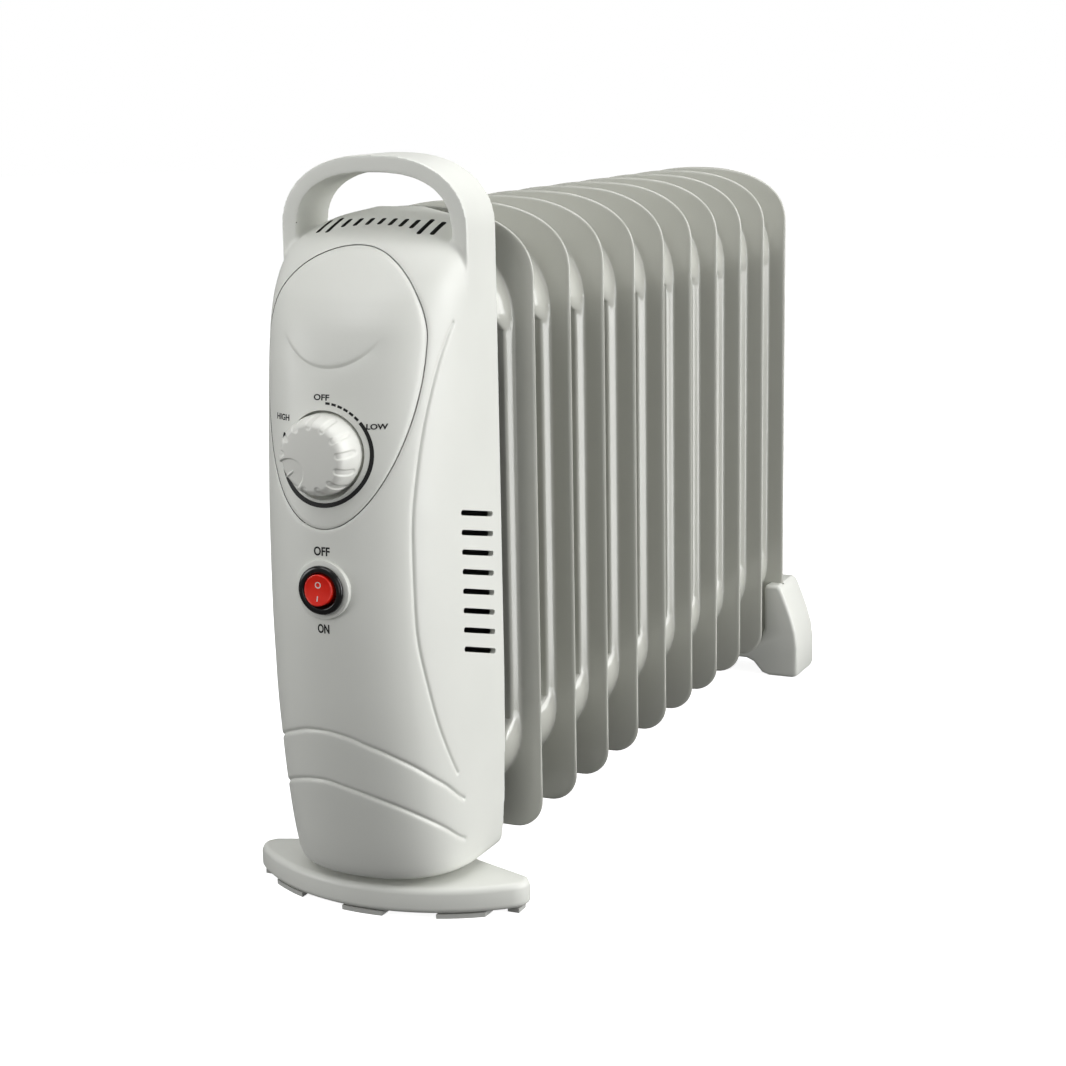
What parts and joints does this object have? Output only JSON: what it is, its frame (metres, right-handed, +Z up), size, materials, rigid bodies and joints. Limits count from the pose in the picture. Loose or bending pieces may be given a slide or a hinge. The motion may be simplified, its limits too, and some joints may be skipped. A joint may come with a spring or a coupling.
{
  "type": "oil filled radiator heater",
  "caption": "Oil filled electric radiator with a row of pressed steel fins, a plastic control housing with a carry handle, a dial thermostat, a round rocker switch and two feet.",
  "frame": {"origin": "centre of the bounding box's underside, on the floor", "axes": "+X to the right of someone facing the controls, +Y from the control housing towards the last fin, +Z up; the controls face -Y"},
  "size_m": [0.148, 0.5326, 0.361],
  "materials": {
    "body_plastic": "fine satin off-white",
    "fin_enamel": "glossy off-white enamel",
    "black_plastic": "semi-gloss black",
    "red_plastic": "translucent red, polished",
    "plain_steel": "zinc plated",
    "brass": "satin",
    "rubber": "matt",
    "pad_rubber": "matt light grey",
    "phenolic": "moulded, matt brown"
  },
  "bodies": {
    "chassis": {"fin_01": "fin_enamel", "fin_02": "fin_enamel", "fin_03": "fin_enamel", "fin_04": "fin_enamel", "fin_05": "fin_enamel", "fin_06": "fin_enamel", "fin_07": "fin_enamel", "fin_08": "fin_enamel", "fin_09": "fin_enamel", "fin_10": "fin_enamel", "heating_element": "plain_steel", "element_flange": "brass", "element_terminal_lower": "brass", "element_terminal_upper": "brass", "oil_filler_plug": "brass", "lower_gallery_cap": "fin_enamel", "housing_shell": "body_plastic", "control_insert": "body_plastic", "thermostat_body": "phenolic", "thermostat_terminal_left": "brass", "thermostat_terminal_right": "brass", "switch_body": "black_plastic", "switch_terminal_1": "brass", "switch_terminal_2": "brass", "switch_terminal_3": "brass", "mounting_plate": "plain_steel", "housing_screw_1": "plain_steel", "housing_screw_2": "plain_steel", "housing_screw_3": "plain_steel", "housing_screw_4": "plain_steel", "thermal_cutout": "phenolic", "terminal_block": "body_plastic", "cord_gland": "rubber", "front_foot": "body_plastic", "front_foot_clamp": "plain_steel", "front_foot_wing_nut": "plain_steel", "rear_foot": "body_plastic", "rear_foot_clamp": "plain_steel", "rear_foot_wing_nut": "plain_steel", "foot_pad_centre": "pad_rubber", "foot_pad_left": "pad_rubber", "foot_pad_right": "pad_rubber", "foot_pad_left_end": "pad_rubber", "foot_pad_right_end": "pad_rubber", "foot_pad_tongue": "pad_rubber"},
    "knob": {"thermostat_knob": "body_plastic", "thermostat_shaft": "brass"},
    "rocker": {"switch_rocker": "red_plastic"}
  },
  "joints": [
    {"name": "knob_turn", "type": "hinge", "parent": "chassis", "child": "knob", "pos_m": [0, -0.24785, 0.2292], "axis": [0, 1, 0], "range_deg": [-235, 55]},
    {"name": "rocker_press", "type": "hinge", "parent": "chassis", "child": "rocker", "pos_m": [0, -0.25755, 0.1672], "axis": [1, 0, 0], "range_deg": [0, 14]}
  ]
}
